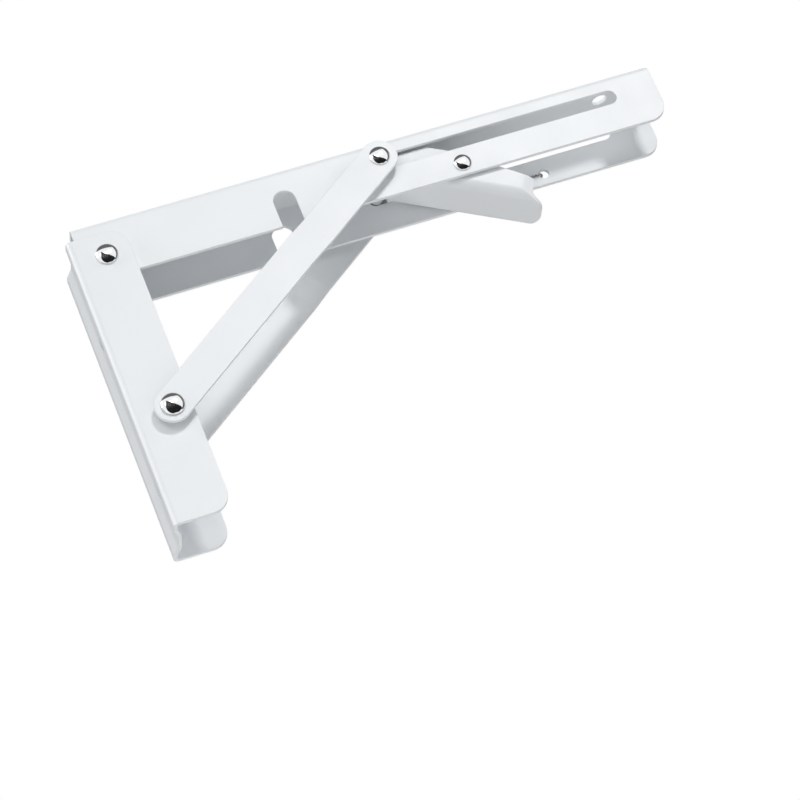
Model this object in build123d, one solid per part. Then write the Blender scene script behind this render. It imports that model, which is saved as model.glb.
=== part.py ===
from build123d import *

import os
from math import atan2, cos, degrees, hypot, pi, radians, sin, sqrt, tan

# Heavy-duty folding shelf bracket, pressed from steel sheet, shown open and latched.
#
# Frame: millimetres. X points out from the wall, Z points up, Y runs along the wall.
# The origin lies midway between the two wall screw holes, where they enter the web from
# the wall's side. The web is pressed away from the wall there, by the depth of its groove.
# A wall channel carries a shelf channel on two hinge rivets. Two struts swing on the wall
# channel, and a cross pin carries their upper ends along slots in the shelf channel. A
# sprung release lever inside the shelf channel stops that pin, so the shelf stays up.

# ---------------------------------------------------------------- sheet and clearances
SHEET = 2.0  # wall channel, shelf channel and release lever
STRUT_SHEET = 2.0  # the two struts
BEND = 3.0  # outer bend radius of both channels
SIDE_GAP = 0.3  # between the nested channels, each side
FACE_GAP = 0.3  # between faces that slide past each other
RUNNING_FIT = 0.05  # radial play of a rivet in the part that turns on it
SLIDE_FIT = 0.1  # radial play of a pin in its slot

# ---------------------------------------------------------------- shelf channel
SHELF_LENGTH = 301.0
SHELF_WIDTH = 34.0  # outside
SHELF_TOP = 20.4  # outer face of the web above the hinge
SHELF_BELOW = 11.0  # free edge of the flanges below the hinge
SHELF_BACK = 12.4  # the channel reaches this far behind the hinge
TIP_ROUND = 9.0  # lower corners at the outer end
TIP_TOP_ROUND = 3.0  # upper corners at the outer end
HEEL_ROUND = 8.0  # lower corners at the hinge end
SHELF_SCREW = 8.0  # holes for the shelf's screws
SHELF_SCREWS = (34.0, 118.0, 264.5)  # ahead of the hinge

# ---------------------------------------------------------------- wall channel
WALL_LENGTH = 161.0
WALL_DEPTH = 29.3
WALL_ABOVE = 12.3  # the wall channel ends this far above the hinge
WALL_ROUND = 9.5  # free corners of the flanges
GROOVE_DEPTH = 2.2  # pressed along the web, away from the wall
GROOVE_WIDTH = 25.0
GROOVE_FLOOR = 11.0
GROOVE_BEND = 4.0
WALL_SCREW = 10.0
WALL_SCREW_SPACING = 85.0
WALL_SCREW_DROP = 34.0  # first screw below the hinge

# ---------------------------------------------------------------- hinge and strut centres
HINGE_OFF_WALL = 17.0
FOOT_DX, FOOT_DROP = 2.2, 91.4  # strut's lower centre from the hinge
PIN_DX, PIN_RISE = 142.2, 8.3  # cross pin's centre from the hinge, shelf open

# ---------------------------------------------------------------- slot, notch, strut
CROSS_PIN = 8.0  # diameter that runs in the slots
SLOT_PLAY = 0.4  # left at each end of the slot
NOTCH_WIDTH = 11.3  # clears the strut rivets when the shelf is folded
NOTCH_TOP = 8.5  # above the hinge
STRUT_WIDTH = 17.8
FOOT_STANDOFF = 3.8  # strut off the wall channel, on its bush
HEAD_STANDOFF = 4.6  # strut off the shelf channel, on the cross pin's bush
JOGGLE_AT = 113.0  # middle of the step in the strut, from its lower centre
JOGGLE_RUN = 12.0
JOGGLE_BEND = 5.0

# ---------------------------------------------------------------- release lever
LEVER_DX, LEVER_DROP = 181.2, 4.4  # pivot from the hinge
LEVER_WIDTH = 28.0
LEVER_BEND = 4.5  # soft outer bends
LEVER_TILT = 29.7  # web below the shelf channel, degrees
LEVER_WEB = 10.9  # web's outer face from the pivot
NOSE_BACK = 35.5  # nose end behind the pivot
NOSE_CLEAR = 0.3  # nose below the cross pin's path, so that the pin can slide past
LEVER_SHOULDER = 7.9  # flange edge above the pivot
LEVER_CROWN = 20.0  # round of that shoulder
HANDLE_REACH = 33.8  # handle end ahead of the pivot
HANDLE_EDGE = 19.6  # flange edge at the handle's end, below the pivot
HANDLE_ROUND = 12.5  # corners of the handle's web
HANDLE_TRIM = 1.0  # the round end stands this far back from the square one
HANDLE_EDGE_ROUND = 4.0  # corner where the flange edge meets the handle's end

# ---------------------------------------------------------------- lever spring
WIRE = 1.2
WIRE_GAP = 0.1  # between the wire and a face it lies along
SPRING_HOLE = 5.2  # in the right flange only
SPRING_DX, SPRING_DROP = 226.8, 4.9  # the hole from the hinge
SPRING_COIL = 3.7  # mean radius, loose on the lever's pin
SPRING_TURNS = 2  # whole turns between the legs
SPRING_PITCH = 1.5
SPRING_AT = 3.0  # the coil starts this far right of the middle
SPRING_HOOK = 1.2  # the hook stands this far behind the hole's centre
SPRING_BEND = 1.8  # bends of the legs
SPRING_KNEE = 14.0  # the upper leg heads for the flange this far behind its hook
SPRING_CRANK = 6.5  # and lies along the flange from here
SPRING_TAIL = 0.9  # the hook shows this far outside the flange
SPRING_FOOT = 20.0  # the lower leg's end from the pivot, along the lever's web
SPRING_HEEL = 11.0  # where that leg meets the web
SPRING_LEAD = 5.0  # straight wire between the coil and the lower leg's first bend

# ---------------------------------------------------------------- rivets
HINGE_HEAD, HINGE_DOME, HINGE_SHANK = 11.2, 2.9, 6.0
FOOT_HEAD, FOOT_DOME, FOOT_SHANK = 11.8, 3.0, 6.0
PIN_HEAD, PIN_DOME, PIN_SHANK = 10.3, 2.5, 5.0
LEVER_HEAD, LEVER_DOME, LEVER_SHANK = 9.1, 2.2, 5.0
CLINCH_OVER = 1.5  # the formed inner end is this much wider than its shank, all round
CLINCH_THICK = 1.5
CLINCH_RIM = 0.6  # its broken edge
HEAD_EDGE = 0.5  # upright edge of each head, under its dome
RIM = 0.3  # broken edges of pins and bushes
BUSH_OUTSIDE = 12.0  # of the bushes at both ends of the struts

# ---------------------------------------------------------------- derived
WALL_X = -GROOVE_DEPTH  # the wall's face
HINGE_X = WALL_X + HINGE_OFF_WALL
HINGE_Z = WALL_SCREW_DROP + WALL_SCREW_SPACING / 2
WALL_TOP = HINGE_Z + WALL_ABOVE
WALL_FOOT = WALL_TOP - WALL_LENGTH
WALL_WIDTH = SHELF_WIDTH + 2 * (SIDE_GAP + SHEET)
SHELF_IN, SHELF_OUT = SHELF_WIDTH / 2 - SHEET, SHELF_WIDTH / 2
WALL_IN, WALL_OUT = WALL_WIDTH / 2 - SHEET, WALL_WIDTH / 2
STRUT_FOOT_Y = WALL_OUT + FOOT_STANDOFF  # inner face of a strut at its foot
STRUT_HEAD_Y = SHELF_OUT + HEAD_STANDOFF  # and at its head
LEVER_IN = LEVER_WIDTH / 2 - SHEET
FOOT_X, FOOT_Z = HINGE_X + FOOT_DX, HINGE_Z - FOOT_DROP
PIN_X, PIN_Z = HINGE_X + PIN_DX, HINGE_Z + PIN_RISE
LEVER_X, LEVER_Z = HINGE_X + LEVER_DX, HINGE_Z - LEVER_DROP
SPRING_X, SPRING_Z = HINGE_X + SPRING_DX, HINGE_Z - SPRING_DROP
STRUT_REACH = hypot(PIN_X - FOOT_X, PIN_Z - FOOT_Z)
STRUT_ANGLE = degrees(atan2(PIN_Z - FOOT_Z, PIN_X - FOOT_X))
# the pin's place along the slot when the shelf hangs straight down
PIN_DX_FOLDED = FOOT_DROP + sqrt(STRUT_REACH**2 - (PIN_RISE - FOOT_DX) ** 2)
SLOT_WIDTH = CROSS_PIN + 2 * SLIDE_FIT


def across(face, half):
    """A face in the XZ plane, extruded to both sides of the middle."""
    return extrude(face, half, dir=(0, 1, 0), both=True)


def side_face(points, rounds=()):
    """A closed outline in the XZ plane. rounds pairs a point's index with its fillet."""
    face = make_face(Polyline([(x, 0, z) for x, z in points], close=True))
    for index, radius in rounds:
        x, z = points[index]
        corner = face.vertices().sort_by_distance((x, 0, z))[0]
        face = fillet(corner, radius)
    return face


def cross_hole(x, z, diameter):
    """A cutter through everything along Y."""
    at = Plane(origin=(x, 0, z), x_dir=(1, 0, 0), z_dir=(0, 1, 0))
    return at * Cylinder(diameter / 2, 4 * WALL_WIDTH)


def cross_slot(x_from, x_to, z, width):
    """A cutter with round ends along Y; x_from and x_to are the round ends' centres."""
    bar = Pos((x_from + x_to) / 2, 0, z) * Box(x_to - x_from, 4 * WALL_WIDTH, width)
    return bar + cross_hole(x_from, z, width) + cross_hole(x_to, z, width)


def wall_channel():
    """Outer channel against the wall, with the pressed groove along its web."""
    w, back, front = WALL_WIDTH / 2, WALL_X, WALL_X + WALL_DEPTH
    spare = 5.0  # the section runs past its free edges, which are cut to shape below
    half_in, half_out = GROOVE_FLOOR / 2, GROOVE_WIDTH / 2
    outline = [
        (front + spare, -w), (back, -w), (back, -half_out), (0, -half_in),
        (0, half_in), (back, half_out), (back, w), (front + spare, w),
    ]  # fmt: skip
    solid = make_face(Polyline(outline, close=True))
    outer, inner = GROOVE_BEND, GROOVE_BEND + SHEET
    rounds = {1: BEND, 2: outer, 3: inner, 4: inner, 5: outer, 6: BEND}
    for index, radius in rounds.items():
        corner = solid.vertices().sort_by_distance((*outline[index], 0))[0]
        solid = fillet(corner, radius)
    section = solid - offset(solid, -SHEET)
    body = extrude(Pos(0, 0, WALL_FOOT) * section, WALL_LENGTH)
    side = side_face(
        [(back - 1, WALL_FOOT), (front, WALL_FOOT), (front, WALL_TOP), (back - 1, WALL_TOP)],
        [(1, WALL_ROUND), (2, WALL_ROUND)],
    )
    body = body & across(side, w + 1)
    for z in (WALL_SCREW_SPACING / 2, -WALL_SCREW_SPACING / 2):
        body -= Pos(0, 0, z) * (Rot(0, 90, 0) * Cylinder(WALL_SCREW / 2, WALL_DEPTH))
    body -= cross_hole(HINGE_X, HINGE_Z, HINGE_SHANK)
    body -= cross_hole(FOOT_X, FOOT_Z, FOOT_SHANK)
    return body


def shelf_channel():
    """Inner channel that carries the shelf, slotted for the pin, notched for the foot rivets."""
    top, low = HINGE_Z + SHELF_TOP, HINGE_Z - SHELF_BELOW
    back = HINGE_X - SHELF_BACK
    tip = back + SHELF_LENGTH
    outer = Plane.YZ * Pos(0, (top + low) / 2) * Rectangle(SHELF_WIDTH, top - low)
    outer = fillet(outer.vertices().group_by(Axis.Z)[-1], BEND)
    inner = Plane.YZ * Pos(0, (top + low) / 2 - SHEET) * Rectangle(2 * SHELF_IN, top - low)
    inner = fillet(inner.vertices().group_by(Axis.Z)[-1], BEND - SHEET)
    body = extrude(Pos(back, 0, 0) * (outer - inner), SHELF_LENGTH, dir=(1, 0, 0))
    side = side_face(
        [(back, low), (tip, low), (tip, top), (back, top)],
        [(0, HEEL_ROUND), (1, TIP_ROUND), (2, TIP_TOP_ROUND)],
    )
    body = body & across(side, SHELF_WIDTH)
    # the notch is round above, and open below
    notch_x, notch_z = HINGE_X + FOOT_DROP, HINGE_Z + NOTCH_TOP - NOTCH_WIDTH / 2
    body -= cross_hole(notch_x, notch_z, NOTCH_WIDTH)
    body -= Pos(notch_x, 0, low) * Box(NOTCH_WIDTH, 2 * SHELF_WIDTH, 2 * (notch_z - low))
    slot_from, slot_to = PIN_X - SLOT_PLAY, HINGE_X + PIN_DX_FOLDED + SLOT_PLAY
    body -= cross_slot(slot_from, slot_to, PIN_Z, SLOT_WIDTH)
    body -= cross_hole(HINGE_X, HINGE_Z, HINGE_SHANK + 2 * RUNNING_FIT)
    body -= cross_hole(LEVER_X, LEVER_Z, LEVER_SHANK)
    body -= Pos(0, 2 * WALL_WIDTH, 0) * cross_hole(SPRING_X, SPRING_Z, SPRING_HOLE)
    for dx in SHELF_SCREWS:
        body -= Pos(HINGE_X + dx, 0, top) * Cylinder(SHELF_SCREW / 2, 4 * SHEET)
    return body


def strut():
    """Right-hand strut (+Y): a flat bar that steps in towards the shelf channel."""
    half = STRUT_WIDTH / 2
    start, end = -half, STRUT_REACH + half
    bend_a, bend_b = JOGGLE_AT - JOGGLE_RUN / 2, JOGGLE_AT + JOGGLE_RUN / 2
    low, high = STRUT_FOOT_Y, STRUT_HEAD_Y
    thick = STRUT_SHEET
    face = make_face(
        Polyline(
            [
                (start, low), (bend_a, low), (bend_b, high), (end, high),
                (end, high + thick), (bend_b, high + thick), (bend_a, low + thick),
                (start, low + thick),
            ],
            close=True,
        )
    )  # fmt: skip
    for x, y in ((bend_a, low), (bend_a, low + thick), (bend_b, high), (bend_b, high + thick)):
        face = fillet(face.vertices().sort_by_distance((x, y, 0))[0], JOGGLE_BEND)
    bar = extrude(face, half, both=True)
    outline = Pos(STRUT_REACH / 2, 0, 0) * SlotCenterToCenter(STRUT_REACH, STRUT_WIDTH)
    plan = Plane.XZ * outline
    bar = bar & extrude(plan, 4 * WALL_WIDTH, both=True)
    bar = Rot(0, -STRUT_ANGLE, 0) * bar
    bar = Pos(FOOT_X, 0, FOOT_Z) * bar
    bar -= cross_hole(FOOT_X, FOOT_Z, FOOT_SHANK + 2 * RUNNING_FIT)
    bar -= cross_hole(PIN_X, PIN_Z, PIN_SHANK)
    return bar


def rivet(x, z, y_seat, y_inner, head, dome, shank, clinch=True):
    """A domed rivet along +Y. y_seat is under its head, y_inner the face its end grips."""
    r, s = head / 2, shank / 2
    rise = dome - HEAD_EDGE
    crown = (r * r + rise * rise) / (2 * rise)  # radius of the dome
    low = y_inner - CLINCH_THICK if clinch else y_inner
    top, edge = y_seat + dome, y_seat + HEAD_EDGE
    end = [(0, low), (s, low)]
    if clinch:
        wide = s + CLINCH_OVER
        end = [(0, low), (wide - CLINCH_RIM, low), (wide, low + CLINCH_RIM), (wide, y_inner)]
        end.append((s, y_inner))
    turn = atan2(r, crown - rise) / 2
    mid = (crown * sin(turn), top - crown + crown * cos(turn))
    rim = (r, edge)
    outline = Polyline(*end, (s, y_seat), (r, y_seat), rim).edges()
    outline += [ThreePointArc(rim, mid, (0, top)).edge(), Line((0, top), (0, low)).edge()]
    turned = revolve(make_face(outline), axis=Axis.Y)
    return Pos(x, 0, z) * turned


def cross_disc(x, z, y_from, y_to, diameter):
    """A round bar along Y with its rims broken."""
    at = Plane(origin=(x, (y_from + y_to) / 2, z), x_dir=(1, 0, 0), z_dir=(0, 1, 0))
    disc = Cylinder(diameter / 2, y_to - y_from)
    return at * chamfer(disc.edges().filter_by(GeomType.CIRCLE), RIM)


def bush(x, z, y_from, y_to, bore):
    """A plain spacer along Y that holds a strut off its channel."""
    return cross_disc(x, z, y_from, y_to, BUSH_OUTSIDE) - cross_hole(x, z, bore)


def lever_pin():
    """The through pin of the release lever, domed over at both ends."""
    half = rivet(
        LEVER_X, LEVER_Z, SHELF_OUT, 0, LEVER_HEAD, LEVER_DOME, LEVER_SHANK, clinch=False
    )
    return half + mirrored(half)


def cross_pin():
    """The round pin through both slots. It ends just short of the struts."""
    end = STRUT_HEAD_Y - FACE_GAP
    return cross_disc(PIN_X, PIN_Z, -end, end, CROSS_PIN)


def release_lever():
    """A short channel, web down: a nose at one end and a thumb handle at the other."""
    slope = radians(LEVER_TILT)

    def web_z(x):
        return LEVER_Z - LEVER_WEB / cos(slope) - (x - LEVER_X) * tan(slope)

    nose_x, end_x = LEVER_X - NOSE_BACK, LEVER_X + HANDLE_REACH
    nose_z = PIN_Z - CROSS_PIN / 2 - NOSE_CLEAR
    outline = [
        (nose_x, web_z(nose_x)),
        (nose_x, nose_z),
        (LEVER_X, LEVER_Z + LEVER_SHOULDER),
        (end_x, LEVER_Z - HANDLE_EDGE),
        (end_x, web_z(end_x)),
    ]
    side = side_face(outline, [(2, LEVER_CROWN), (3, HANDLE_EDGE_ROUND)])
    tall = nose_z - web_z(end_x)
    u = Plane(
        origin=(LEVER_X, 0, LEVER_Z),
        x_dir=(0, 1, 0),
        z_dir=(cos(slope), 0, -sin(slope)),
    )
    outer = Pos(0, tall / 2 - LEVER_WEB) * Rectangle(LEVER_WIDTH, tall)
    outer = fillet(outer.vertices().group_by(Axis.Y)[0], LEVER_BEND)
    inner = Pos(0, tall / 2 - LEVER_WEB + SHEET) * Rectangle(2 * LEVER_IN, tall)
    inner = fillet(inner.vertices().group_by(Axis.Y)[0], LEVER_BEND - SHEET)
    body = extrude(u * (outer - inner), 2 * NOSE_BACK, both=True)
    body = body & across(side, LEVER_WIDTH)
    # the handle's end is round as seen from below
    long_way = 4 * NOSE_BACK
    plan = RectangleRounded(long_way, LEVER_WIDTH, HANDLE_ROUND)
    reach = HANDLE_REACH * cos(slope) + (LEVER_WEB + HANDLE_REACH * sin(slope)) * sin(slope)
    top = Plane(
        origin=(LEVER_X, 0, LEVER_Z),
        x_dir=(cos(slope), 0, -sin(slope)),
        z_dir=(sin(slope), 0, cos(slope)),
    )
    plan = top * (Pos(reach - long_way / 2 - HANDLE_TRIM, 0) * plan)
    body = body & extrude(plan, 2 * tall, both=True)
    return body - cross_hole(LEVER_X, LEVER_Z, LEVER_SHANK + 2 * RUNNING_FIT)


def lever_spring():
    """Torsion spring on the lever's pin: one leg on the web, one hooked in the flange."""
    slope = radians(LEVER_TILT)
    hook_x = SPRING_X - SPRING_HOOK
    knee_x = hook_x - SPRING_KNEE
    fall = atan2(LEVER_Z + SPRING_COIL - SPRING_Z, knee_x - LEVER_X)
    turns = SPRING_TURNS + (pi - slope + fall) / (2 * pi)
    along = Vector(cos(slope), 0, -sin(slope))  # down the web, towards the handle
    off = Vector(-sin(slope), 0, -cos(slope))  # from the pivot to the web
    start = Plane(origin=(LEVER_X, SPRING_AT, LEVER_Z), x_dir=off, z_dir=(0, 1, 0))
    coil = start * Helix(SPRING_PITCH, turns * SPRING_PITCH, SPRING_COIL)
    # the lower leg comes up the web and runs on into the coil
    lead = coil.position_at(0) - coil.tangent_at(0) * SPRING_LEAD
    on_web = Vector(LEVER_X, lead.Y, LEVER_Z) + off * (LEVER_WEB - SHEET - WIRE_GAP - WIRE / 2)
    foot, heel = on_web + along * SPRING_FOOT, on_web + along * SPRING_HEEL
    lower = FilletPolyline(foot, heel, lead, coil.position_at(0), radius=SPRING_BEND)
    # the upper leg runs straight out of the coil, then out to the flange and its hole
    leave, way = coil.position_at(1), coil.tangent_at(1)
    knee = leave + way * ((knee_x - leave.X) / way.X)
    side = SHELF_IN - WIRE_GAP - WIRE / 2
    crank, hook = (hook_x - SPRING_CRANK, side, SPRING_Z), (hook_x, side, SPRING_Z)
    tail = (hook_x, SHELF_OUT + SPRING_TAIL, SPRING_Z)
    upper = FilletPolyline(leave, knee, crank, hook, tail, radius=SPRING_BEND)
    path = Wire([*lower.edges(), *coil.edges(), *upper.edges()])
    return sweep(Plane(origin=foot, z_dir=heel - foot) * Circle(WIRE / 2), path=path)


def mirrored(solid):
    return mirror(solid, about=Plane.XZ)


def build():
    """Every piece by its node's name."""
    right = {
        "strut": strut(),
        "hinge_rivet": rivet(
            HINGE_X, HINGE_Z, WALL_OUT, SHELF_IN - FACE_GAP, HINGE_HEAD, HINGE_DOME, HINGE_SHANK
        ),
        "strut_foot_rivet": rivet(
            FOOT_X,
            FOOT_Z,
            STRUT_FOOT_Y + STRUT_SHEET + FACE_GAP,
            WALL_IN,
            FOOT_HEAD,
            FOOT_DOME,
            FOOT_SHANK,
        ),
        "strut_bush": bush(FOOT_X, FOOT_Z, WALL_OUT, STRUT_FOOT_Y - FACE_GAP, FOOT_SHANK),
        "strut_head_rivet": rivet(
            PIN_X,
            PIN_Z,
            STRUT_HEAD_Y + STRUT_SHEET,
            STRUT_HEAD_Y,
            PIN_HEAD,
            PIN_DOME,
            PIN_SHANK,
            clinch=False,
        ),
        "pin_bush": bush(PIN_X, PIN_Z, SHELF_OUT + FACE_GAP, STRUT_HEAD_Y - FACE_GAP, CROSS_PIN),
    }
    parts = {
        "wall_channel": wall_channel(),
        "shelf_channel": shelf_channel(),
        "release_lever": release_lever(),
        "lever_pin": lever_pin(),
        "lever_spring": lever_spring(),
        "cross_pin": cross_pin(),
    }
    for name, solid in right.items():
        parts[name + "_right"] = solid
        parts[name + "_left"] = mirrored(solid)
    return parts


os.makedirs("parts", exist_ok=True)
for node, shape in build().items():
    solids = shape.solids()
    if len(solids) != 1:
        raise SystemExit(f"{node} came out as {len(solids)} solids")
    export_step(solids[0], f"parts/{node}.step")
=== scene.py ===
# %% [markdown]
# # A folding shelf bracket
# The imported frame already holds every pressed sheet, rivet and pin of the bracket at its
# true size. This lesson gives those pieces their finishes, makes the rivets and the spring
# again with Geometry Nodes, adds what the frame leaves out, and lights the whole as a small
# product on a white ground.

# %% Load the frame
import math

import bpy
import bmesh
from mathutils import Matrix, Vector


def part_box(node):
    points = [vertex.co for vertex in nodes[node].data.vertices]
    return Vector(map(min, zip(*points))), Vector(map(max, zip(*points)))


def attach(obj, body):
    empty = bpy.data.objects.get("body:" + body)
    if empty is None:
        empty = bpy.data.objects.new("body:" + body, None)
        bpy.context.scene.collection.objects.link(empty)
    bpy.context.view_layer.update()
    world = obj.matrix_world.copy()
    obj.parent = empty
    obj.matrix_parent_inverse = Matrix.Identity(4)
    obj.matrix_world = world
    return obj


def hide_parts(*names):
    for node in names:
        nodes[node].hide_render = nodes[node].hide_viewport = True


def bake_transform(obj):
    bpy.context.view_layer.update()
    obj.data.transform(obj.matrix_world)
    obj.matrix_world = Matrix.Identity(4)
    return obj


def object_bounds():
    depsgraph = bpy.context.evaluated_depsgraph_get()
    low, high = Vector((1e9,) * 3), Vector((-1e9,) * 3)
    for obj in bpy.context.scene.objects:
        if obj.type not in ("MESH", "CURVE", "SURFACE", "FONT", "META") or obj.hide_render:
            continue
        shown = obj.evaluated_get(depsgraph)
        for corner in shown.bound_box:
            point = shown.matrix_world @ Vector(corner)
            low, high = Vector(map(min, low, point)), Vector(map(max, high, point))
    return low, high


MM = 0.001
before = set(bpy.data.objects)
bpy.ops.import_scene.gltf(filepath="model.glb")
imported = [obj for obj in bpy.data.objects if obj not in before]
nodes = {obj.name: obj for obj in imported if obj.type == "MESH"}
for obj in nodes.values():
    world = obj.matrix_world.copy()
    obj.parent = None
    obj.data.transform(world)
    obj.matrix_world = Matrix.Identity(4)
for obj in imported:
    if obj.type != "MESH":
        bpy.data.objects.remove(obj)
cad_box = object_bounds()
print("frame box:", cad_box)

# %% [markdown]
# ## Where the main measures come from
# The hinge, the cross pin and the lever's pivot carry everything that moves. Their places
# could be typed in, but they are read from the frame's own boxes, so a new piece can't drift
# away from the steel that carries it.


# %% Shared measures
def corners(node):
    """The lowest and the highest corner of a node's box."""
    low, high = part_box(node)
    return Vector(low), Vector(high)


def centre(node):
    """The middle of a node's box."""
    low, high = corners(node)
    return (low + high) / 2


hinge = centre("hinge_rivet_right")
pin = centre("cross_pin")
pivot = centre("lever_pin")
pin_low, pin_high = corners("cross_pin")
hinge.y = 0  # the middle plane of the bracket
for label, place in {"hinge": hinge, "cross pin": pin, "lever's pivot": pivot}.items():
    print(label, "at", tuple(round(v, 4) for v in place))

# %% [markdown]
# ## The camera
# The bracket is seen from below and from its left, with a long lens, so its two channels
# look almost parallel. A camera can be aimed with angles, but three directions say how it
# stands without any order of turns: they are its right, its up and its backward direction.

# %% Camera
SENSOR = 36.0  # width in millimetres
LENS = 170.1  # focal length in millimetres
CLIP_END = 20.0
CAMERA_RIGHT = Vector((0.935726, -0.048459, -0.349384))
CAMERA_UP = Vector((0.282138, -0.491652, 0.823818))
CAMERA_BACK = Vector((-0.211697, -0.869443, -0.446379))
CAMERA_FROM_HINGE = Vector((-0.27174, -1.56645, -0.91499))

camera_data = bpy.data.cameras.new("camera")
camera_data.sensor_width = SENSOR
camera_data.lens = LENS
camera_data.clip_end = CLIP_END
camera = bpy.data.objects.new("camera", camera_data)
bpy.context.collection.objects.link(camera)
turn = Matrix((CAMERA_RIGHT, CAMERA_UP, CAMERA_BACK)).transposed().to_4x4()
camera.matrix_world = Matrix.Translation(hinge + CAMERA_FROM_HINGE) @ turn
bpy.context.scene.camera = camera
bpy.context.scene.view_settings.view_transform = "Standard"
print("camera at", tuple(round(v, 3) for v in camera.matrix_world.translation))

# %% [markdown]
# ## Small helpers for materials
# A finish is a little graph of nodes. These helpers keep each graph short: one makes an
# empty material, one makes a noise on Object coordinates, so that a pattern stays put on
# its piece, and the others spread, tint and emboss that noise.


# %% Material helpers
def new_material(name):
    """A node material with its output, its shader and its coordinates."""
    material = bpy.data.materials.new(name)
    material.use_nodes = True
    tree = material.node_tree
    tree.nodes.clear()
    output = tree.nodes.new("ShaderNodeOutputMaterial")
    shader = tree.nodes.new("ShaderNodeBsdfPrincipled")
    place = tree.nodes.new("ShaderNodeTexCoord")
    tree.links.new(shader.outputs["BSDF"], output.inputs["Surface"])
    return material, tree, shader, place


def noise(tree, place, scale, detail=2.0, stretch=(1, 1, 1)):
    """A noise whose scale is in cycles per metre."""
    mapping = tree.nodes.new("ShaderNodeMapping")
    mapping.inputs["Scale"].default_value = stretch
    texture = tree.nodes.new("ShaderNodeTexNoise")
    texture.inputs["Scale"].default_value = scale
    texture.inputs["Detail"].default_value = detail
    tree.links.new(place.outputs["Object"], mapping.inputs["Vector"])
    tree.links.new(mapping.outputs["Vector"], texture.inputs["Vector"])
    return texture.outputs["Fac"]


def remap(tree, value, low, high):
    """Spreads a 0 to 1 value between low and high."""
    node = tree.nodes.new("ShaderNodeMapRange")
    node.inputs["To Min"].default_value = low
    node.inputs["To Max"].default_value = high
    tree.links.new(value, node.inputs["Value"])
    return node.outputs["Result"]


def tint(tree, value, dark, light):
    """Mixes two colours by a 0 to 1 value."""
    node = tree.nodes.new("ShaderNodeMix")
    node.data_type = "RGBA"
    node.inputs["A"].default_value = (*dark, 1)
    node.inputs["B"].default_value = (*light, 1)
    tree.links.new(value, node.inputs["Factor"])
    return node.outputs["Result"]


def either(tree, first, second):
    """The larger of two values, so 1 where either of them is 1."""
    node = tree.nodes.new("ShaderNodeMath")
    node.operation = "MAXIMUM"
    tree.links.new(first, node.inputs[0])
    tree.links.new(second, node.inputs[1])
    return node.outputs[0]


def bump(tree, height, distance, strength, below=None):
    """A bump whose full height is distance, in metres, on top of the normal below."""
    node = tree.nodes.new("ShaderNodeBump")
    node.inputs["Distance"].default_value = distance
    node.inputs["Strength"].default_value = strength
    tree.links.new(height, node.inputs["Height"])
    if below is not None:
        tree.links.new(below, node.inputs["Normal"])
    return node.outputs["Normal"]


print("the material helpers are ready")

# %% [markdown]
# ## White powder coat
# The channels, the struts and the lever are sprayed with powder and baked. The coat is a
# neutral white, a little glossy, with the fine waves of orange peel about a millimetre
# apart and a much finer grain. One flat white would look like plastic, so two noises make
# the two sizes of wave, and two slower ones shift the tone and the gloss a little, as the
# coat's thickness does. The powder melts round every cut edge. Rounding each edge of the
# mesh would change its true size, so a Bevel node rounds the edges in the light alone.

# %% White powder coat
COAT_DARK = (0.835, 0.86, 0.88)
COAT_LIGHT = (0.865, 0.89, 0.912)
COAT_ROUGHNESS = (0.34, 0.44)
TONE_SCALE, GLOSS_SCALE, PEEL_SCALE, GRAIN_SCALE = 22.0, 60.0, 700.0, 3500.0
GRAIN_DETAIL = 1.0
PEEL_HEIGHT, PEEL_STRENGTH = 0.06 * MM, 0.35
GRAIN_HEIGHT, GRAIN_STRENGTH = 0.01 * MM, 0.25
EDGE_RADIUS, EDGE_SAMPLES = 0.3 * MM, 6


def powder_coat(name):
    """The coat's tone, its gloss, and a normal of rounded edges, peel and grain."""
    material, tree, shader, place = new_material(name)
    tone = tint(tree, noise(tree, place, TONE_SCALE), COAT_DARK, COAT_LIGHT)
    tree.links.new(tone, shader.inputs["Base Color"])
    gloss = remap(tree, noise(tree, place, GLOSS_SCALE), *COAT_ROUGHNESS)
    tree.links.new(gloss, shader.inputs["Roughness"])
    edge = tree.nodes.new("ShaderNodeBevel")
    edge.samples = EDGE_SAMPLES
    edge.inputs["Radius"].default_value = EDGE_RADIUS
    waves = noise(tree, place, PEEL_SCALE)
    peel = bump(tree, waves, PEEL_HEIGHT, PEEL_STRENGTH, edge.outputs["Normal"])
    specks = noise(tree, place, GRAIN_SCALE, GRAIN_DETAIL)
    grain = bump(tree, specks, GRAIN_HEIGHT, GRAIN_STRENGTH, peel)
    tree.links.new(grain, shader.inputs["Normal"])
    return material


white = powder_coat("white_powder_coat")
print("made", white.name)

# %% [markdown]
# ## Steel finishes
# The rivet heads and the cross pin are bright polished steel. The bushes are plain turned
# steel, and the spring is dull drawn wire. Each could be a graph of its own, but they share
# one: a metal whose gloss and tone drift a little, with fine scratches, which a stretched
# noise turns into the rings that a lathe leaves.


# %% Steel finishes
DRIFT_SCALE = 150.0
SCRATCH_SCALE, SCRATCH_DETAIL, SCRATCH_STRENGTH = 900.0, 3.0, 0.3
EVEN = (1, 1, 1)
TURNED = (1, 6, 1)  # close rings round the pin's axis


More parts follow.
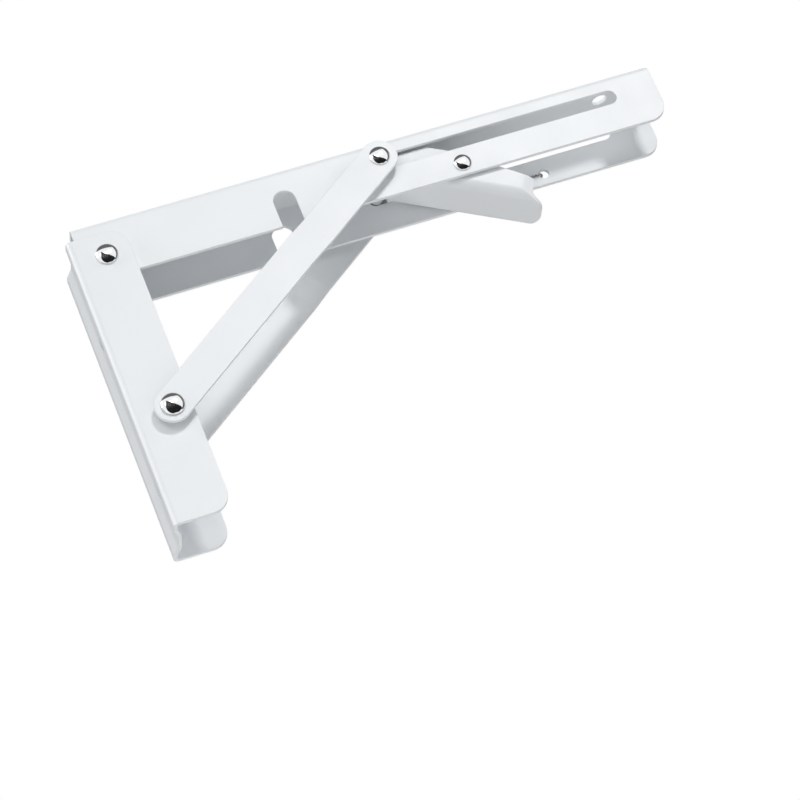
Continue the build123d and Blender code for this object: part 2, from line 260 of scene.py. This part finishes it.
def steel(name, dark, light, roughness, stretch, scratch):
    """A metal with a drifting tone and fine scratches, whose depth is scratch."""
    material, tree, shader, place = new_material(name)
    shader.inputs["Metallic"].default_value = 1.0
    tone = tint(tree, noise(tree, place, DRIFT_SCALE), dark, light)
    tree.links.new(tone, shader.inputs["Base Color"])
    fine = noise(tree, place, SCRATCH_SCALE, SCRATCH_DETAIL, stretch)
    tree.links.new(remap(tree, fine, *roughness), shader.inputs["Roughness"])
    marks = bump(tree, fine, scratch, SCRATCH_STRENGTH)
    tree.links.new(marks, shader.inputs["Normal"])
    return material


polished = steel(
    "bright_steel",
    dark=(0.84, 0.85, 0.86),
    light=(0.91, 0.92, 0.93),
    roughness=(0.06, 0.12),
    stretch=EVEN,
    scratch=0.003 * MM,
)
turned = steel(
    "turned_steel",
    dark=(0.42, 0.42, 0.43),
    light=(0.52, 0.52, 0.53),
    roughness=(0.28, 0.42),
    stretch=TURNED,
    scratch=0.01 * MM,
)
wire_steel = steel(
    "spring_wire",
    dark=(0.30, 0.30, 0.31),
    light=(0.42, 0.42, 0.43),
    roughness=(0.22, 0.34),
    stretch=EVEN,
    scratch=0.008 * MM,
)
print("made", polished.name, turned.name, wire_steel.name)

# %% [markdown]
# ## One finish for each piece of the frame
# Each piece could be given its finish by hand, but a table shows them all at a glance. A
# left piece and its right twin share a finish, so the table needs only the name without its
# side.

# %% Finishes
FINISHES = {
    "wall_channel": white,
    "shelf_channel": white,
    "release_lever": white,
    "strut": white,
    "hinge_rivet": polished,
    "strut_foot_rivet": polished,
    "strut_head_rivet": polished,
    "lever_pin": polished,
    "cross_pin": polished,
    "strut_bush": turned,
    "pin_bush": turned,
    "lever_spring": wire_steel,
}
for name, node in nodes.items():
    finish = FINISHES.get(name) or FINISHES[name.rsplit("_", 1)[0]]
    node.data.materials.clear()
    node.data.materials.append(finish)
print("finished", len(nodes), "frame nodes")

# %% [markdown]
# ## Small helpers for Geometry Nodes
# A tree of nodes is a recipe with named sizes. Such a tree can be drawn by hand in the
# editor, but a script that writes it stays readable and can be run again. One helper writes
# a tree, node by node. The other runs it and keeps its result as a plain mesh, with its
# object at the origin.


# %% The recipe of a tree
MERGE = 0.005 * MM  # points nearer than this become one
SHARP = math.radians(35)  # edges that bend less than this look smooth


class Recipe:
    """A Geometry Nodes tree, with short ways to add nodes and sums."""

    def __init__(self, name, sizes):
        self.tree = bpy.data.node_groups.new(name, "GeometryNodeTree")
        for label, kind in sizes.items():
            self.tree.interface.new_socket(label, in_out="INPUT", socket_type=kind)
        self.tree.interface.new_socket(
            "Geometry", in_out="OUTPUT", socket_type="NodeSocketGeometry"
        )
        self.sizes = self.tree.nodes.new("NodeGroupInput").outputs
        self.result = self.tree.nodes.new("NodeGroupOutput").inputs["Geometry"]

    def add(self, kind, values=None, **settings):
        """A new node. values feeds its inputs with links or with plain values."""
        node = self.tree.nodes.new(kind)
        for key, value in settings.items():
            setattr(node, key, value)
        for key, value in (values or {}).items():
            if isinstance(value, bpy.types.NodeSocket):
                self.tree.links.new(value, node.inputs[key])
            else:
                node.inputs[key].default_value = value
        return node

    def sum(self, operation, first, second):
        """One step of arithmetic on two values."""
        node = self.add("ShaderNodeMath", {0: first, 1: second}, operation=operation)
        return node.outputs[0]

    def join(self, pieces):
        """Several shapes as one."""
        node = self.tree.nodes.new("GeometryNodeJoinGeometry")
        for piece in pieces:
            self.tree.links.new(piece, node.inputs[0])
        return node.outputs[0]

    def finish(self, mesh):
        """Realizes, merges doubles, smooths gentle edges, sets the finish and ends."""
        real = self.add("GeometryNodeRealizeInstances", {"Geometry": mesh})
        whole = self.add(
            "GeometryNodeMergeByDistance", {"Geometry": real.outputs[0], "Distance": MERGE}
        )
        bend = self.add("GeometryNodeInputMeshEdgeAngle").outputs["Unsigned Angle"]
        gentle = self.add(
            "FunctionNodeCompare", {0: bend, 1: SHARP}, data_type="FLOAT", operation="LESS_THAN"
        )
        smooth = self.add(
            "GeometryNodeSetShadeSmooth",
            {"Geometry": whole.outputs[0], "Shade Smooth": gentle.outputs[0]},
            domain="EDGE",
        )
        finished = self.add(
            "GeometryNodeSetMaterial",
            {"Geometry": smooth.outputs[0], "Material": self.sizes["Material"]},
        )
        self.tree.links.new(finished.outputs[0], self.result)


print("a recipe can be written")


# %% Running a recipe
def run_recipe(name, recipe, values, start=None):
    """Runs a recipe on an empty mesh, or on start, and keeps the result as a plain piece."""
    data = start or bpy.data.meshes.new(name + "_start")
    source = bpy.data.objects.new(name + "_source", data)
    bpy.context.collection.objects.link(source)
    modifier = source.modifiers.new("recipe", "NODES")
    modifier.node_group = recipe.tree
    for socket in recipe.tree.interface.items_tree:
        if socket.in_out == "INPUT" and socket.name in values:
            modifier[socket.identifier] = values[socket.name]
    shaped = source.evaluated_get(bpy.context.evaluated_depsgraph_get())
    mesh = bpy.data.meshes.new_from_object(shaped)
    mesh.name = name
    mesh.materials.clear()  # the tree leaves an empty slot before its own
    mesh.materials.append(values["Material"])
    source.modifiers.clear()
    bpy.data.objects.remove(source)
    piece = bpy.data.objects.new(name, mesh)
    bpy.context.collection.objects.link(piece)
    print(name, "has", len(mesh.polygons), "faces")
    return piece


print("a recipe can be run")

# %% [markdown]
# ## The rivets
# A rivet is a turned part: its half outline, spun round its axis. The outline could be
# drawn once for each size, but a tree with named sizes makes all eight domed ends from one
# drawing. It lays short lines and curves end to end, sweeps them round a small ring, and
# turns a copy to the bracket's right, to its left or to both sides. The dome is a quarter
# of an ellipse, which falls steeply at its rim, as a dome formed in a press does.

# %% The rivet's recipe
RING = 1.0 * MM  # radius of the ring that the outline is swept round
RING_STEPS, DOME_STEPS, ROUND_STEPS = 72, 20, 4
QUARTER = 0.5523  # pull of a Bezier curve that follows a quarter of an ellipse
RIVET_SIZES = {
    "Centre": "NodeSocketVector",
    "Seat": "NodeSocketFloat",
    "Head Radius": "NodeSocketFloat",
    "Dome Height": "NodeSocketFloat",
    "Edge Height": "NodeSocketFloat",
    "Edge Round": "NodeSocketFloat",
    "Shank Radius": "NodeSocketFloat",
    "Grip": "NodeSocketFloat",
    "End Radius": "NodeSocketFloat",
    "End Thickness": "NodeSocketFloat",
    "End Closed": "NodeSocketBool",
    "Sides": "NodeSocketInt",
    "First Side": "NodeSocketInt",
    "Material": "NodeSocketMaterial",
}
rivet = Recipe("rivet", RIVET_SIZES)
size = rivet.sizes


def spot(height, radius):
    """A point of the half outline, as height along the axis and distance from it."""
    return rivet.add("ShaderNodeCombineXYZ", {"X": radius, "Y": height}).outputs[0]


def line(first, last):
    """A straight stretch of the outline."""
    ends = {"Start": first, "End": last}
    return rivet.add("GeometryNodeCurvePrimitiveLine", ends).outputs[0]


def curve(first, first_pull, last_pull, last, steps):
    """A Bezier curve from first to last, pulled towards the two points between."""
    points = {
        "Start": first,
        "Start Handle": first_pull,
        "End Handle": last_pull,
        "End": last,
        "Resolution": steps,
    }
    kind = "GeometryNodeCurvePrimitiveBezierSegment"
    return rivet.add(kind, points, mode="POSITION").outputs[0]


print("the recipe takes", len(RIVET_SIZES), "sizes")

# %% The rivet's outline
head, shank, end = size["Head Radius"], size["Shank Radius"], size["End Radius"]
edge, top, rim = size["Edge Height"], size["Dome Height"], size["Edge Round"]
under = rivet.sum("SUBTRACT", head, rim)
rise = rivet.sum("MULTIPLY", rivet.sum("SUBTRACT", top, edge), QUARTER)
side_pull = spot(rivet.sum("ADD", edge, rise), head)
top_pull = spot(top, rivet.sum("MULTIPLY", head, QUARTER))
seat_corner = spot(0.0, head)
inner = rivet.sum("MULTIPLY", size["Grip"], -1.0)
low = rivet.sum("SUBTRACT", inner, size["End Thickness"])
low_round = rivet.sum("ADD", low, rim)
end_flat = rivet.sum("SUBTRACT", end, rim)
low_corner = spot(low, end)
formed_end = rivet.join(
    [
        line(spot(low, 0.0), spot(low, end_flat)),
        curve(spot(low, end_flat), low_corner, low_corner, spot(low_round, end), ROUND_STEPS),
        line(spot(low_round, end), spot(inner, end)),
        line(spot(inner, end), spot(inner, shank)),
    ]
)
closed = rivet.add(
    "GeometryNodeSwitch",
    {"Switch": size["End Closed"], "True": formed_end},
    input_type="GEOMETRY",
)
outline = rivet.join(
    [
        closed.outputs[0],
        line(spot(inner, shank), spot(0.0, shank)),
        line(spot(0.0, shank), spot(0.0, under)),
        curve(spot(0.0, under), seat_corner, seat_corner, spot(rim, head), ROUND_STEPS),
        line(spot(rim, head), spot(edge, head)),
        curve(spot(edge, head), side_pull, top_pull, spot(top, 0.0), DOME_STEPS),
    ]
)
print("the outline is drawn")

# %% The rivet's sweep
seat = rivet.add("ShaderNodeCombineXYZ", {"X": -RING, "Y": size["Seat"]})
placed = rivet.add(
    "GeometryNodeSetPosition", {"Geometry": outline, "Offset": seat.outputs[0]}
)
ring = rivet.add(
    "GeometryNodeCurvePrimitiveCircle",
    {"Resolution": RING_STEPS, "Radius": RING},
    mode="RADIUS",
)
swept = rivet.add(
    "GeometryNodeCurveToMesh",
    {"Curve": ring.outputs[0], "Profile Curve": placed.outputs[0]},
)
spots = rivet.add(
    "GeometryNodeMeshLine",
    {"Count": size["Sides"], "Start Location": size["Centre"], "Offset": (0, 0, 0)},
)
index = rivet.add("GeometryNodeInputIndex").outputs[0]
side = rivet.sum("ADD", index, size["First Side"])
tilt = rivet.sum("ADD", rivet.sum("MULTIPLY", side, math.pi), math.pi / 2)
facing = rivet.add("ShaderNodeCombineXYZ", {"X": tilt})
copies = rivet.add(
    "GeometryNodeInstanceOnPoints",
    {
        "Points": spots.outputs[0],
        "Instance": swept.outputs[0],
        "Rotation": facing.outputs[0],
    },
)
rivet.finish(copies.outputs[0])
print("the recipe has", len(rivet.tree.nodes), "nodes")

# %% [markdown]
# ## Each rivet from the one recipe
# A rivet's head is domed where it shows, and its inner end is formed flat against the
# sheet. The head's width, its top and its inner end come from the frame's own rivet, which
# the new one replaces, so the two agree. The dome's height, the shank and the formed end
# are given here. The lever's pin is two open halves that meet in the middle.

# %% Rivets
EDGE_HEIGHT = 0.35 * MM
EDGE_ROUND = 0.22 * MM
BOTH, RIGHT, LEFT = (2, 0), (1, 0), (1, 1)  # how many sides, and the first of them
HINGE_RIVETS = ("hinge_rivet_right", "hinge_rivet_left")
FOOT_RIVETS = ("strut_foot_rivet_right", "strut_foot_rivet_left")
RIVETS = {
    # piece: frame nodes, body, sides, then in millimetres the dome's height, the shank's
    # width, and the width and thickness of the inner end
    "hinge_rivets": (HINGE_RIVETS, "wall", BOTH, 2.9, 6.0, 9.0, 1.5),
    "foot_rivets": (FOOT_RIVETS, "wall", BOTH, 3.0, 6.0, 9.0, 1.5),
    "head_rivet_right": (("strut_head_rivet_right",), "strut_right", RIGHT, 2.5, 5.0, 5.0, 1.0),
    "head_rivet_left": (("strut_head_rivet_left",), "strut_left", LEFT, 2.5, 5.0, 5.0, 1.0),
    "lever_rivet": (("lever_pin",), "shelf", BOTH, 2.2, 5.0, 5.0, 0.0),
}


def make_rivets(name, replaced, body, sides, dome, shank, end_width, end_thickness):
    """One body's rivets of one size, in place of the frame's."""
    low, high = corners(replaced[0])
    middle = centre(replaced[0])
    through = end_thickness == 0
    inner = 0.0 if through else min(abs(low.y), abs(high.y))
    seat = max(high.y, -low.y) - dome * MM
    values = {
        "Centre": (middle.x, 0.0, middle.z),
        "Seat": seat,
        "Head Radius": (high.x - low.x) / 2,
        "Dome Height": dome * MM,
        "Edge Height": EDGE_HEIGHT,
        "Edge Round": EDGE_ROUND,
        "Shank Radius": shank / 2 * MM,
        "Grip": seat - inner - end_thickness * MM,
        "End Radius": end_width / 2 * MM,
        "End Thickness": end_thickness * MM,
        "End Closed": not through,
        "Sides": sides[0],
        "First Side": sides[1],
        "Material": polished,
    }
    piece = run_recipe(name, rivet, values)
    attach(piece, body)
    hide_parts(*replaced)


for name, row in RIVETS.items():
    make_rivets(name, *row)

# %% [markdown]
# ## The lever's spring
# A torsion spring of hard wire pushes the lever back to rest. Its coil lies loose round the
# lever's pin. One leg rests on the lever's web, and the other lies along the right flange
# and hooks out through its hole. It could be a drawn curve, but its coil has to be exact.
# So the script works out the corners of the wire's middle line, and a tree rounds its bends
# and sweeps a round section along it.

# %% The spring's path
TILT = math.radians(29.7)  # the lever's web below the shelf channel
WEB = 10.9 * MM  # the web's outer face from the pivot
SHEET = 2.0 * MM  # thickness of the pressed steel
WIRE = 1.2 * MM
WIRE_GAP = 0.1 * MM  # between the wire and the sheet that it lies on
COIL = 3.7 * MM  # mean radius
COIL_START = 3.0 * MM  # to the right of the middle plane
COIL_PITCH = 1.5 * MM
COIL_TURNS = 2
COIL_STEPS = 24  # corners in one turn
FOOT, HEEL = 20.0 * MM, 11.0 * MM  # ends of the stretch that lies on the web
LEAD = 5.0 * MM  # straight stretch before the coil
HOLE = Vector((226.8, 0, -4.9)) * MM  # the flange's hole from the hinge
HOOK = 1.2 * MM  # from the hole's middle back to the hook
KNEE, CRANK = 14.0 * MM, 6.5 * MM  # from the hook back to the two bends before it
TAIL = 0.9 * MM  # how far the hook stands out of the flange


def spring_path():
    """The corners of the wire's middle line, from the foot on the web to the hook."""
    along = Vector((math.cos(TILT), 0, -math.sin(TILT)))
    off = Vector((-math.sin(TILT), 0, -math.cos(TILT)))
    across = Vector((0, 1, 0))
    axis = Vector((pivot.x, COIL_START, pivot.z))
    hole = hinge + HOLE
    hook_x = hole.x - HOOK
    fall = math.atan2(pivot.z + COIL - hole.z, hook_x - KNEE - pivot.x)
    angle = 2 * math.pi * COIL_TURNS + math.pi - TILT + fall
    steps = round(COIL_STEPS * angle / (2 * math.pi))

    def on_coil(turned):
        """The coil's middle line after turned radians."""
        climb = across * (COIL_PITCH * turned / (2 * math.pi))
        return axis + (off * math.cos(turned) - along * math.sin(turned)) * COIL + climb

    def way(turned):
        """The direction in which the wire runs there."""
        round_it = (-off * math.sin(turned) - along * math.cos(turned)) * COIL
        return (round_it + across * (COIL_PITCH / (2 * math.pi))).normalized()

    inset = SHEET + WIRE_GAP + WIRE / 2  # the wire's middle behind a sheet's outer face
    coil = [on_coil(angle * step / steps) for step in range(steps + 1)]
    lead = coil[0] - way(0) * LEAD
    web = Vector((pivot.x, lead.y, pivot.z)) + off * (WEB - inset)
    leave = way(angle)
    knee = coil[-1] + leave * ((hook_x - KNEE - coil[-1].x) / leave.x)
    flange = corners("shelf_channel")[1].y
    side = flange - inset
    crank = Vector((hook_x - CRANK, side, hole.z))
    hook = Vector((hook_x, side, hole.z))
    tail = Vector((hook_x, flange + TAIL, hole.z))
    return [web + along * FOOT, web + along * HEEL, lead, *coil, knee, crank, hook, tail]


path = spring_path()
print("the spring's path has", len(path), "corners")

# %% The wire's recipe
wire = Recipe(
    "wire_on_a_path",
    {
        "Geometry": "NodeSocketGeometry",
        "Wire Radius": "NodeSocketFloat",
        "Bend Radius": "NodeSocketFloat",
        "Bend Steps": "NodeSocketInt",
        "Section Steps": "NodeSocketInt",
        "Material": "NodeSocketMaterial",
    },
)
run = wire.add("GeometryNodeMeshToCurve", {"Mesh": wire.sizes["Geometry"]})
bent = wire.add(
    "GeometryNodeFilletCurve",
    {
        "Curve": run.outputs[0],
        "Radius": wire.sizes["Bend Radius"],
        "Count": wire.sizes["Bend Steps"],
        "Limit Radius": True,  # so the coil's short steps keep their shape
    },
    mode="POLY",
)
section = wire.add(
    "GeometryNodeCurvePrimitiveCircle",
    {"Resolution": wire.sizes["Section Steps"], "Radius": wire.sizes["Wire Radius"]},
    mode="RADIUS",
)
drawn = wire.add(
    "GeometryNodeCurveToMesh",
    {"Curve": bent.outputs[0], "Profile Curve": section.outputs[0], "Fill Caps": True},
)
wire.finish(drawn.outputs[0])
print("the recipe has", len(wire.tree.nodes), "nodes")

# %% The spring
path_mesh = bpy.data.meshes.new("spring_path")
path_mesh.from_pydata(path, [(place, place + 1) for place in range(len(path) - 1)], [])
spring_sizes = {
    "Wire Radius": WIRE / 2,
    "Bend Radius": 1.8 * MM,
    "Bend Steps": 6,
    "Section Steps": 20,
    "Material": wire_steel,
}
spring = run_recipe("torsion_spring", wire, spring_sizes, path_mesh)
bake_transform(spring)
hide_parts("lever_spring")

# %% [markdown]
# ## The tips of the lever's nose
# The real lever's nose stands up in front of the cross pin and stops it. The frame's nose
# is cut below the pin's path, because the pin has to slide past with the lever at rest.
# The two missing tips are thin plates that carry on the lever's cheeks. Each is a plain
# outline given a thickness, so it is built point by point. They ride on the lever, so they
# sink with it when it is pressed.

# %% Nose tips
TIP_TOP = 3.4 * MM  # above the cross pin's centre
TIP_FLAT = 22.0 * MM  # length of the level top
TIP_CORNER = 1.0 * MM  # bevel of the front corner
TIP_BURIED = 0.6 * MM  # how far the plates reach down into the cheeks
TIP_EDGE, TIP_EDGE_STEPS = 0.25 * MM, 2  # rounding of every edge
TIP_GAP = 0.1 * MM  # between the tips and the pin that they stop
NOSE_CLEAR = 0.3 * MM  # the frame's nose is this far below the pin


def tip_outline():
    """The tips' outline in the XZ plane: front, level top, then the lever's slope."""
    front = pin_high.x + TIP_GAP
    top = pin.z + TIP_TOP
    low = pin_low.z - NOSE_CLEAR - TIP_BURIED
    back = front + TIP_FLAT
    return [
        (front, low),
        (front, top - TIP_CORNER),
        (front + TIP_CORNER, top),
        (back, top),
        (back + (top - low) / math.tan(TILT), low),
    ]


def nose_tips():
    """Both plates as one mesh, each flush with its cheek's two faces."""
    mesh = bpy.data.meshes.new("lever_nose_tips")
    work = bmesh.new()
    outline = tip_outline()
    cheek = corners("release_lever")[1].y
    for side in (-1, 1):
        levels = (cheek * side, (cheek - SHEET) * side)
        outer, inner = ([work.verts.new((x, y, z)) for x, z in outline] for y in levels)
        work.faces.new(outer)
        work.faces.new(reversed(inner))
        for here in range(len(outline)):
            after = (here + 1) % len(outline)
            work.faces.new((outer[after], outer[here], inner[here], inner[after]))
    bmesh.ops.recalc_face_normals(work, faces=work.faces)
    bmesh.ops.bevel(
        work, geom=list(work.edges), offset=TIP_EDGE, segments=TIP_EDGE_STEPS, affect="EDGES"
    )
    work.to_mesh(mesh)
    work.free()
    mesh.materials.append(white)
    tips = bpy.data.objects.new("lever_nose_tips", mesh)
    bpy.context.collection.objects.link(tips)
    return tips


tips = nose_tips()
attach(tips, "lever")
print("nose tips:", len(tips.data.polygons), "faces")

# %% [markdown]
# ## The ground
# The bracket stands clear in white, as if on its wall. The floor lies a little below the
# place where the folded shelf channel hangs. It is pale and faces up only: seen from below
# it is open, so a low camera looks past it. It blocks no lamp, metal mirrors the white world
# instead of it, and it keeps the bracket's soft shadow. A plain disc would show its rim, so
# away from the bracket it fades into the white.

# %% Floor's finish
FLOOR_RADIUS = 1.3
FLOOR_FADE = 0.5  # distance from the bracket at which the floor starts to fade
FLOOR_DARK = (0.88, 0.88, 0.88)
FLOOR_LIGHT = (0.90, 0.90, 0.90)
FLOOR_SCALE = 4.0
FLOOR_ROUGHNESS, FLOOR_SPECULAR = 0.9, 0.1


def output_of(tree):
    """The node that a material's graph ends in."""
    return next(node for node in tree.nodes if node.type == "OUTPUT_MATERIAL")


def floor_material():
    """A matt white that is open from below, far out, and to all but plain light."""
    material, tree, shader, place = new_material("pale_floor")
    shader.inputs["Roughness"].default_value = FLOOR_ROUGHNESS
    shader.inputs["Specular IOR Level"].default_value = FLOOR_SPECULAR
    tone = tint(tree, noise(tree, place, FLOOR_SCALE), FLOOR_DARK, FLOOR_LIGHT)
    tree.links.new(tone, shader.inputs["Base Color"])
    away = tree.nodes.new("ShaderNodeVectorMath")
    away.operation = "LENGTH"
    tree.links.new(place.outputs["Object"], away.inputs[0])
    fade = tree.nodes.new("ShaderNodeMapRange")
    fade.interpolation_type = "SMOOTHSTEP"
    fade.inputs["From Min"].default_value = FLOOR_FADE
    fade.inputs["From Max"].default_value = FLOOR_RADIUS
    tree.links.new(away.outputs["Value"], fade.inputs["Value"])
    geometry = tree.nodes.new("ShaderNodeNewGeometry")
    open_to = either(tree, fade.outputs["Result"], geometry.outputs["Backfacing"])
    rays = tree.nodes.new("ShaderNodeLightPath")
    for kind in ("Is Shadow Ray", "Is Glossy Ray", "Is Transmission Ray"):
        open_to = either(tree, open_to, rays.outputs[kind])
    clear = tree.nodes.new("ShaderNodeBsdfTransparent")
    mix = tree.nodes.new("ShaderNodeMixShader")
    tree.links.new(open_to, mix.inputs["Fac"])
    tree.links.new(shader.outputs["BSDF"], mix.inputs[1])
    tree.links.new(clear.outputs["BSDF"], mix.inputs[2])
    tree.links.new(mix.outputs["Shader"], output_of(tree).inputs["Surface"])
    return material


floor_finish = floor_material()
print("made", floor_finish.name)

# %% Floor
FLOOR_GAP = 4 * MM
FLOOR_STEPS = 96
hang = corners("shelf_channel")[1].x - hinge.x  # how far the folded channel hangs
floor_level = hinge.z - hang - FLOOR_GAP
floor_mesh = bpy.data.meshes.new("floor")
work = bmesh.new()
bmesh.ops.create_circle(work, cap_ends=True, radius=FLOOR_RADIUS, segments=FLOOR_STEPS)
bmesh.ops.translate(work, verts=work.verts, vec=(0, 0, floor_level))
work.to_mesh(floor_mesh)
work.free()
floor_mesh.materials.append(floor_finish)
floor = bpy.data.objects.new("floor", floor_mesh)
bpy.context.collection.objects.link(floor)
print("floor at", round(floor_level, 4))

# %% [markdown]
# ## The world
# To the camera, and in whatever metal mirrors, the world is plain white. A world as bright
# as that for every ray would wash out all shading, so to everything else it is a dim fill,
# and the insides of the channels fall off a little.

# %% World
WORLD_WHITE, WORLD_FILL = 1.0, 0.08
world = bpy.data.worlds.new("studio")
bpy.context.scene.world = world
world.use_nodes = True
tree = world.node_tree
tree.nodes.clear()


def sky(strength):
    """An even white sky of one strength."""
    node = tree.nodes.new("ShaderNodeBackground")
    node.inputs["Color"].default_value = (1, 1, 1, 1)
    node.inputs["Strength"].default_value = strength
    return node.outputs["Background"]


rays = tree.nodes.new("ShaderNodeLightPath")
seen = rays.outputs["Is Camera Ray"]
for kind in ("Is Glossy Ray", "Is Transmission Ray"):
    seen = either(tree, seen, rays.outputs[kind])
mix = tree.nodes.new("ShaderNodeMixShader")
tree.links.new(seen, mix.inputs["Fac"])
tree.links.new(sky(WORLD_FILL), mix.inputs[1])
tree.links.new(sky(WORLD_WHITE), mix.inputs[2])
world_output = tree.nodes.new("ShaderNodeOutputWorld")
tree.links.new(mix.outputs["Shader"], world_output.inputs["Surface"])
print("world white", WORLD_WHITE, "and fill", WORLD_FILL)

# %% [markdown]
# ## The lamps
# Softboxes stand round the bracket. The key is far off on the camera's side, above and to
# the right, and small, so that one flange throws a clear shadow on the other. The rest are
# wide and near, and only fill. Watts are low, because a white coat needs little light to
# look as white as it is.

# %% Softboxes
middle = (Vector(cad_box[0]) + Vector(cad_box[1])) / 2
SOFTBOXES = {
    # name: direction from the bracket, distance, width and height in metres, watts
    "key": ((0.36, -1.0, 0.6), 3.0, 0.4, 0.32, 25.0),
    "front": ((-0.3, -1.0, 0.3), 1.6, 1.1, 0.8, 6.8),
    "top": ((0.1, -0.1, 1.0), 1.3, 1.0, 0.8, 2.6),
    "back": ((0.2, 1.0, 0.35), 1.5, 1.0, 0.8, 7.5),
    "end": ((1.0, -0.2, 0.32), 1.5, 0.9, 0.7, 6.5),
    "wall_side": ((-1.0, -0.05, 0.6), 1.5, 0.9, 0.8, 10.0),
}


def softbox(name, direction, distance, width, height, watts):
    """A flat lamp that stands off the bracket and faces it."""
    lamp = bpy.data.lights.new(name, "AREA")
    lamp.shape = "RECTANGLE"
    lamp.size = width
    lamp.size_y = height
    lamp.energy = watts
    box = bpy.data.objects.new(name, lamp)
    bpy.context.collection.objects.link(box)
    away = Vector(direction).normalized()
    box.location = middle + away * distance
    box.rotation_euler = away.to_track_quat("Z", "Y").to_euler()


for name, row in SOFTBOXES.items():
    softbox(name, *row)
print("softboxes:", ", ".join(SOFTBOXES))

# %% [markdown]
# ## Dark screens
# A polished dome mirrors the whole room, so in a white room it looks like white plastic.
# Curved dark screens stand nearer than the lamps and give it the dark shapes that make it
# read as metal: a black one low in front, and grey ones above and behind. Only mirrored
# rays see them, so they throw no shade and never show in the picture. Each is a patch of a
# ball round the bracket, which is quicker to place than flat cards.

# %% Dark screens
SCREEN_RADIUS = 1.2
SCREEN_CELLS = 12  # across a screen and up it
BLACK, GREY = 0.015, 0.13  # tones of the screens
SCREENS = {
    # name: tone, then four corners, each in degrees round from the front and degrees up
    "screen_front": (BLACK, (-75, -70), (60, -70), (58, -25), (-26, 38)),
    "screen_above": (GREY, (-100, 52), (50, 52), (50, 90), (-100, 90)),
    "screen_behind": (GREY, (60, -40), (262, -15), (262, 90), (48, 90)),
}


def screen_finish(name, tone):
    """An even dark tone, which no lamp changes."""
    material, tree, shader, place = new_material(name)
    tree.nodes.remove(shader)
    tree.nodes.remove(place)
    glow = tree.nodes.new("ShaderNodeEmission")
    glow.inputs["Color"].default_value = (tone, tone, tone, 1)
    tree.links.new(glow.outputs["Emission"], output_of(tree).inputs["Surface"])
    return material


def on_ball(turned, lifted):
    """The place on the ball round the bracket in one direction, given in degrees."""
    turned, lifted = math.radians(turned), math.radians(lifted)
    level = math.cos(lifted)
    way = Vector((math.sin(turned) * level, -math.cos(turned) * level, math.sin(lifted)))
    return middle + way * SCREEN_RADIUS


def screen(name, tone, *corner):
    """A patch of a ball round the bracket, seen by mirrored rays only."""
    low_left, low_right, high_right, high_left = (Vector(place) for place in corner)
    shares = [step / SCREEN_CELLS for step in range(SCREEN_CELLS + 1)]
    points = [
        on_ball(*low_left.lerp(low_right, across).lerp(high_left.lerp(high_right, across), up))
        for up in shares
        for across in shares
    ]
    width = SCREEN_CELLS + 1
    faces = [
        (start, start + 1, start + width + 1, start + width)
        for row in range(SCREEN_CELLS)
        for start in range(row * width, row * width + SCREEN_CELLS)
    ]
    mesh = bpy.data.meshes.new(name)
    mesh.from_pydata(points, [], faces)
    mesh.materials.append(screen_finish(name, tone))
    sheet = bpy.data.objects.new(name, mesh)
    bpy.context.collection.objects.link(sheet)
    sheet.visible_camera = False
    sheet.visible_diffuse = False
    sheet.visible_transmission = False
    sheet.visible_volume_scatter = False
    sheet.visible_shadow = False


for name, row in SCREENS.items():
    screen(name, *row)
print("screens:", ", ".join(SCREENS))
